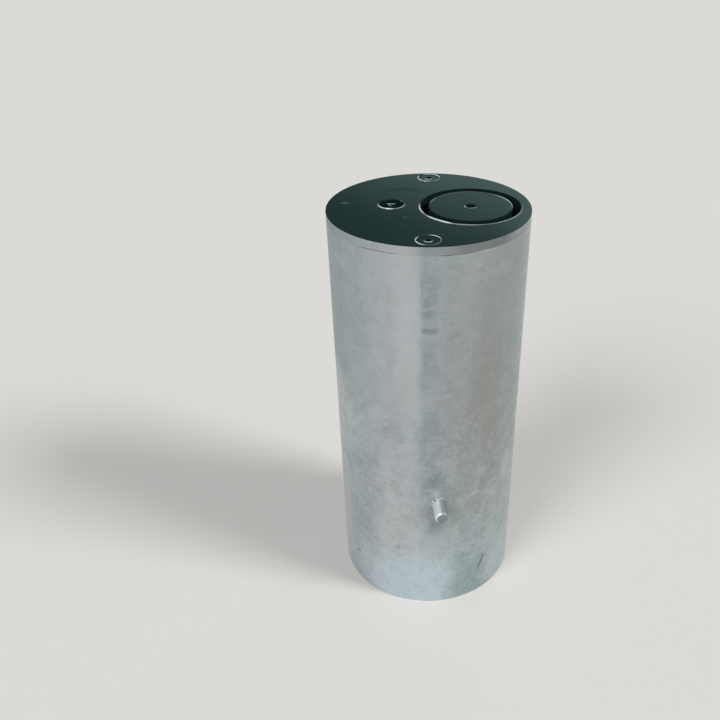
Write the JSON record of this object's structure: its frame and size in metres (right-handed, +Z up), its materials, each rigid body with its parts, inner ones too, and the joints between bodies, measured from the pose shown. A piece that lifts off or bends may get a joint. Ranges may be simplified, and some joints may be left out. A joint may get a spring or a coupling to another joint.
{
  "type": "retractable bollard",
  "caption": "Round in-ground galvanised casing with a flush dark cover, a sliding post that lifts out through it, and a triangular-key lock that holds the post down or up.",
  "frame": {"origin": "centre of the casing's foot", "axes": "+Z up along the casing and the post's lift, +X from the lock towards the post"},
  "size_m": [0.1937, 0.2416, 0.4305],
  "materials": {
    "galvanised": "hot-dip galvanised, mottled satin grey",
    "dark_coat": "dark green-black satin coating",
    "machined_steel": "turned steel",
    "zinc_plate": "zinc plated",
    "rubber": "black moulded rubber",
    "bearing_plastic": "natural bearing plastic"
  },
  "bodies": {
    "casing": {"casing_tube": "galvanised", "base_plate": "galvanised", "anchor_stud_front": "galvanised", "anchor_stud_rear": "galvanised", "fixing_lug_front": "galvanised", "fixing_lug_rear": "galvanised", "guide_tube": "galvanised", "cover_plate": "dark_coat", "cover_screw_front": "dark_coat", "cover_screw_rear": "dark_coat", "cover_gasket": "rubber", "wiper_seal": "rubber", "rest_buffer": "rubber", "upper_bush": "bearing_plastic", "stop_ring": "machined_steel", "guide_key": "machined_steel", "lock_housing": "zinc_plate", "housing_screw_front": "machined_steel", "housing_screw_rear": "machined_steel"},
    "post": {"post_tube": "galvanised", "post_cap": "dark_coat", "stop_collar": "machined_steel", "lower_bush": "bearing_plastic", "bush_clip_upper": "machined_steel", "bush_clip_lower": "machined_steel"},
    "lock": {"lock_spindle": "machined_steel", "spindle_seal": "rubber", "spindle_clip": "machined_steel", "lock_tongue": "machined_steel", "tongue_washer": "zinc_plate", "tongue_screw": "zinc_plate"}
  },
  "joints": [
    {"name": "post_lift", "type": "slide", "parent": "casing", "child": "post", "axis": [0, 0, 1], "range_m": [0, 0.28]},
    {"name": "lock_turn", "type": "hinge", "parent": "casing", "child": "lock", "pos_m": [-0.0353, 0.0045, 0.39], "axis": [0, 0, 1], "range_deg": [0, 90]}
  ]
}
